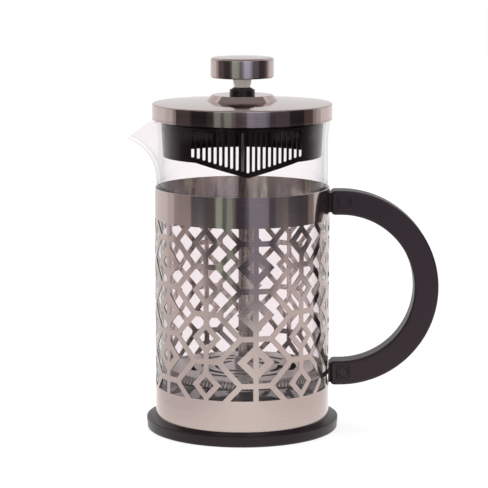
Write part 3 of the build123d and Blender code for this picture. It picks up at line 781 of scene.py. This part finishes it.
@dataclass(frozen=True)
class Band:
    """A ring of cards round the press's axis, for the steel to reflect.

    Attributes:
        inner: Radius and height of one edge.
        outer: Radius and height of the other edge.
        cards: Where each card starts, in degrees round the axis from the front to the right, and the
            display colour that it has in the press's steel.
        end: Where the last card ends.
    """

    inner: tuple[float, float]
    outer: tuple[float, float]
    cards: tuple[tuple[float, Tone], ...]
    end: float = 180.0


@dataclass
class Studio:
    """White table and backdrop, soft lamps, and the room that polished steel reflects.

    Attributes:
        table_top: Height of the table as reflections see it.
        table_front: Where the table ends in front of the press.
        table_side: Half width of the table.
        table_steps: Where one strip of the table ends and the next starts, from left to right.
        table_left: Display colour that the table's left end has in the press's steel.
        table_middle: The same for its middle.
        table_right: The same for its right end.
        table_fall: How late the tone changes from the middle towards the ends.
        floor_half: Half size of the floor.
        floor_colour: Grey of the floor.
        floor_glow: Glow of the floor for the camera, which makes it show white.
        floor_bounce: Glow of the floor for all other light.
        bands: The rings of cards.
        card_turn: Widest card, in degrees round the axis.
        world_level: Light of the surroundings on what isn't polished.
        lamps: Name, place, side length and watts of each lamp.
        lamps_aim: Where the lamps point.
    """

    table_top: float = -0.5 * MM
    table_front: float = -0.376
    table_side: float = 0.55
    table_steps: tuple[float, ...] = (-0.1, -0.075, -0.05, -0.025, 0.0, 0.025, 0.05, 0.075, 0.1)
    table_left: Tone = (184, 167, 162)
    table_middle: Tone = (206, 190, 183)
    table_right: Tone = (192, 173, 168)
    table_fall: float = 1.5
    floor_half: float = 30.0
    floor_colour: float = 0.25
    floor_glow: float = 0.79
    floor_bounce: float = 0.45
    bands: tuple[Band, ...] = (
        Band((0.0, 2.2), (1.9, 2.2), ((-180, (118, 104, 102)),)),
        Band((2.5, 0.2), (2.5, 2.2), ((112, (174, 157, 153)),), 250),
        Band(
            (2.5, -1.6),
            (2.5, -0.15),
            (
                (-115, (172, 154, 149)),
                (-101, (141, 123, 118)),
                (-71, (78, 74, 78)),
                (-50, (74, 64, 64)),
                (-35, (140, 142, 127)),
                (-26, (80, 78, 74)),
                (-20, (126, 125, 114)),
                (-13, (92, 86, 80)),
                (-9, (46, 40, 45)),
                (3, (70, 63, 72)),
                (8, (116, 106, 113)),
                (34, (68, 61, 68)),
                (43, (92, 82, 82)),
                (61, (66, 60, 66)),
                (76, (60, 52, 56)),
                (95, (112, 99, 97)),
            ),
            107,
        ),
        Band(
            (2.5, -0.15),
            (2.5, -0.035),
            (
                (-115, (176, 160, 157)),
                (-99, (137, 122, 122)),
                (-93, (58, 48, 46)),
                (-68, (27, 20, 22)),
                (-46, (40, 28, 28)),
                (-36, (106, 102, 96)),
                (-28, (66, 57, 54)),
                (-23, (108, 106, 100)),
                (-14, (80, 67, 66)),
                (-9, (62, 46, 48)),
                (5, (112, 99, 107)),
                (14, (100, 92, 101)),
                (30, (76, 62, 71)),
                (34, (42, 33, 38)),
                (41, (62, 50, 52)),
                (61, (30, 24, 27)),
                (84, (71, 56, 52)),
                (100, (128, 112, 111)),
                (107, (154, 140, 137)),
            ),
            117,
        ),
        Band(
            (2.5, -0.035),
            (2.5, 2.2),
            (
                (-110, (140, 124, 124)),
                (-98, (80, 68, 67)),
                (-72, (56, 47, 46)),
                (-45, (90, 84, 78)),
                (-38, (148, 148, 136)),
                (-17, (132, 129, 126)),
                (-10, (112, 104, 103)),
                (0, (140, 132, 138)),
                (6, (172, 166, 180)),
                (26, (150, 144, 155)),
                (34, (112, 106, 113)),
                (40, (86, 78, 83)),
                (62, (56, 47, 50)),
                (88, (78, 66, 68)),
                (100, (140, 124, 126)),
            ),
            112,
        ),
    )
    card_turn: float = 4.0
    world_level: float = 0.85
    lamps: tuple[tuple, ...] = (
        ("top_lamp", (0.0, 0.25, 1.25), 1.1, 7.0),
        ("left_lamp", (-1.1, -0.35, 0.75), 0.8, 4.0),
        ("right_lamp", (1.1, -0.2, 0.8), 0.8, 3.0),
    )
    lamps_aim: tuple[float, float, float] = (0.0, 0.0, 0.1)

    def build(self) -> None:
        """Make the world, the floor, the cards and the lamps."""
        self._world()
        self._floor()
        self._room()
        for lamp in self.lamps:
            self._lamp(*lamp)

    def _world(self) -> None:
        """White for the camera, reflections and what glass shows; a plain level for everything else."""
        world = bpy.data.worlds.new("studio_air")
        bpy.context.scene.world = world
        world.cycles.sampling_method = "NONE"  # rough reflections then meet the cards before the world
        world.use_nodes = True
        tree = world.node_tree
        tree.nodes.clear()
        rays = tree.nodes.new("ShaderNodeLightPath")
        seen = rays.outputs["Is Camera Ray"]
        for kind in ("Is Glossy Ray", "Is Transmission Ray"):
            either = tree.nodes.new("ShaderNodeMath")
            either.operation = "MAXIMUM"
            tree.links.new(seen, either.inputs[0])
            tree.links.new(rays.outputs[kind], either.inputs[1])
            seen = either.outputs[0]
        level = tree.nodes.new("ShaderNodeMapRange")
        level.inputs["To Min"].default_value = self.world_level
        level.inputs["To Max"].default_value = 1.0
        tree.links.new(seen, level.inputs["Value"])
        air = tree.nodes.new("ShaderNodeBackground")
        air.inputs["Color"].default_value = WHITE
        tree.links.new(level.outputs[0], air.inputs["Strength"])
        out = tree.nodes.new("ShaderNodeOutputWorld")
        tree.links.new(air.outputs[0], out.inputs["Surface"])

    def _sheet(self, name: str, corners: list[tuple[float, float, float]], columns: int) -> bpy.types.Object:
        """Make a stage mesh of quads between two rows of corners.

        Args:
            name: Name of the object.
            corners: Lower row of corners, then the upper row.
            columns: Corners in each row.

        Returns:
            The stage object.
        """
        mesh = bpy.data.meshes.new(name)
        faces = [(k, k + 1, columns + k + 1, columns + k) for k in range(columns - 1)]
        mesh.from_pydata(corners, [], faces)
        piece = bpy.data.objects.new(name, mesh)
        bpy.context.scene.collection.objects.link(piece)
        return piece

    def _glow(self) -> bpy.types.Material:
        """Make the glow of the cards, clear to rays that have met no reflection."""
        sheet = ShaderSheet("room_glow")
        tone = sheet.add("ShaderNodeVertexColor", layer_name="tone")
        light = sheet.add("ShaderNodeEmission", {"Color": tone.outputs[0], "Strength": 1.0})
        clear = sheet.add("ShaderNodeBsdfTransparent")
        depth = sheet.add("ShaderNodeLightPath").outputs["Glossy Depth"]
        met = sheet.maths("GREATER_THAN", depth, 0.5)
        return sheet.finish(sheet.mixed(met, clear, light))

    def _room(self) -> None:
        """Lay the table and the ceiling, and stand the rings of upright cards round the press."""
        glow = self._glow()
        for index, band in enumerate(self.bands):
            starts = [start for start, _ in band.cards]
            turns = []
            tones = []
            for (start, tone), end in zip(band.cards, starts[1:] + [band.end]):
                steps = math.ceil((end - start) / self.card_turn)
                turns += [math.radians(start + (end - start) * k / steps) for k in range(steps)]
                tones += [tone] * steps
            turns.append(math.radians(band.end))
            corners = [
                (radius * math.sin(turn), -radius * math.cos(turn), height)
                for radius, height in (band.inner, band.outer)
                for turn in turns
            ]
            self._reflect(self._sheet(f"room_ring_{index}", corners, len(turns)), tones, glow)
        across = (-self.table_side, *self.table_steps, self.table_side)
        corners = [(x, y, self.table_top) for y in (self.table_front, self.floor_half) for x in across]
        table = self._sheet("table_card", corners, len(across))
        self._reflect(table, self._table_tones(len(across) - 1), glow)

    def _table_tones(self, count: int) -> list[Tone]:
        """Grade the table's tone from its left to its middle and on to its right.

        Args:
            count: Number of strips.

        Returns:
            One tone for each strip.
        """
        tones = []
        for index in range(count):
            place = 2 * index / (count - 1) - 1
            side = self.table_left if place < 0 else self.table_right
            share = abs(place) ** self.table_fall
            tones.append(tuple(round(m + (s - m) * share) for m, s in zip(self.table_middle, side)))
        return tones

    def _reflect(self, card: bpy.types.Object, tones: list[Tone], glow: bpy.types.Material) -> None:
        """Give a stage object its tones and leave it to reflections only.

        Args:
            card: The stage object.
            tones: Display colour of each of its faces in the press's steel.
            glow: Material of the cards.
        """
        layer = card.data.color_attributes.new("tone", "FLOAT_COLOR", "CORNER")
        for face, tone in zip(card.data.polygons, tones):
            light = [seen / steel for seen, steel in zip(linear(*tone), STEEL)]
            for corner in face.loop_indices:
                layer.data[corner].color = (*light, 1)
        card.data.materials.append(glow)
        card.visible_camera = False
        card.visible_diffuse = False
        card.visible_shadow = False

    def _floor(self) -> None:
        """Pale floor that shows white and keeps the press's shadow, clear to rays that met a reflection."""
        half = self.floor_half
        corners = [(-half, -half, 0), (half, -half, 0), (-half, half, 0), (half, half, 0)]
        floor = self._sheet("floor", corners, 2)
        sheet = ShaderSheet("floor_paper")
        paper = sheet.add("ShaderNodeBsdfDiffuse", {"Color": (*[self.floor_colour] * 3, 1)})
        rays = sheet.add("ShaderNodeLightPath")
        direct = sheet.maths("MAXIMUM", rays.outputs["Is Camera Ray"], rays.outputs["Is Transmission Ray"])
        level = sheet.between(direct, self.floor_bounce, self.floor_glow)
        glow = sheet.add("ShaderNodeEmission", {"Color": WHITE, "Strength": level})
        seen = sheet.add("ShaderNodeAddShader", {0: paper.outputs[0], 1: glow.outputs[0]})
        met = sheet.maths("GREATER_THAN", rays.outputs["Glossy Depth"], 0.5)
        clear = sheet.add("ShaderNodeBsdfTransparent")
        floor.data.materials.append(sheet.finish(sheet.mixed(met, seen, clear)))
        floor.visible_glossy = False

    def _lamp(self, name: str, place: tuple[float, float, float], size: float, power: float) -> None:
        """Hang one square soft lamp that points at the press.

        Args:
            name: Name of the lamp.
            place: Where it hangs.
            size: Side length.
            power: Power in watts.
        """
        data = bpy.data.lights.new(name, "AREA")
        data.size = size
        data.energy = power
        lamp = bpy.data.objects.new(name, data)
        bpy.context.scene.collection.objects.link(lamp)
        lamp.location = place
        aim = Vector(self.lamps_aim) - Vector(place)
        lamp.rotation_euler = aim.to_track_quat("-Z", "Y").to_euler()
        lamp.visible_camera = False
        lamp.visible_transmission = False
        lamp.visible_glossy = False


@dataclass
class CameraRig:
    """A long lens in front of the press, a little above it, with the press at a slight turn.

    Attributes:
        distance: From the press's axis.
        height: Above the table.
        aside: To the right of the axis.
        tilt: Downward tilt in radians.
        turn: How far the press is turned, in degrees, with its handle away from the camera.
        lens: Focal length in millimetres.
        sensor: Width of the sensor in millimetres.
        reach: How far the camera sees.
    """

    distance: float = 1.13428
    height: float = 0.27431
    aside: float = 0.00091
    tilt: float = 0.15493
    turn: float = 0.65
    lens: float = 161.588
    sensor: float = 36.0
    reach: float = 50.0

    def build(self) -> None:
        """Place the camera and make it the scene's own."""
        data = bpy.data.cameras.new("front_camera")
        data.sensor_width = self.sensor
        data.lens = self.lens
        data.clip_end = self.reach
        camera = bpy.data.objects.new("front_camera", data)
        bpy.context.scene.collection.objects.link(camera)
        turned = Matrix.Rotation(-math.radians(self.turn), 4, "Z")
        placed = Matrix.Translation((self.aside, -self.distance, self.height))
        tilted = Matrix.Rotation(math.pi / 2 - self.tilt, 4, "X")
        camera.matrix_world = turned @ placed @ tilted
        bpy.context.scene.camera = camera


def main() -> None:
    """Dress every sub-assembly, then set up the studio and the camera."""
    logging.basicConfig(level=logging.INFO, format="%(name)s: %(message)s")
    bpy.context.scene.view_settings.view_transform = "Standard"
    bpy.context.scene.cycles.transparent_max_bounces = CLEAR_BOUNCES
    bpy.context.scene.cycles.glossy_bounces = MIRROR_BOUNCES
    for assembly in (Foot(), Sleeve(), Handle(), Beaker(), Lid(), Plunger(), Studio(), CameraRig()):
        assembly.build()
        LOG.info("%s is done", type(assembly).__name__)


if __name__ == "__main__":
    main()
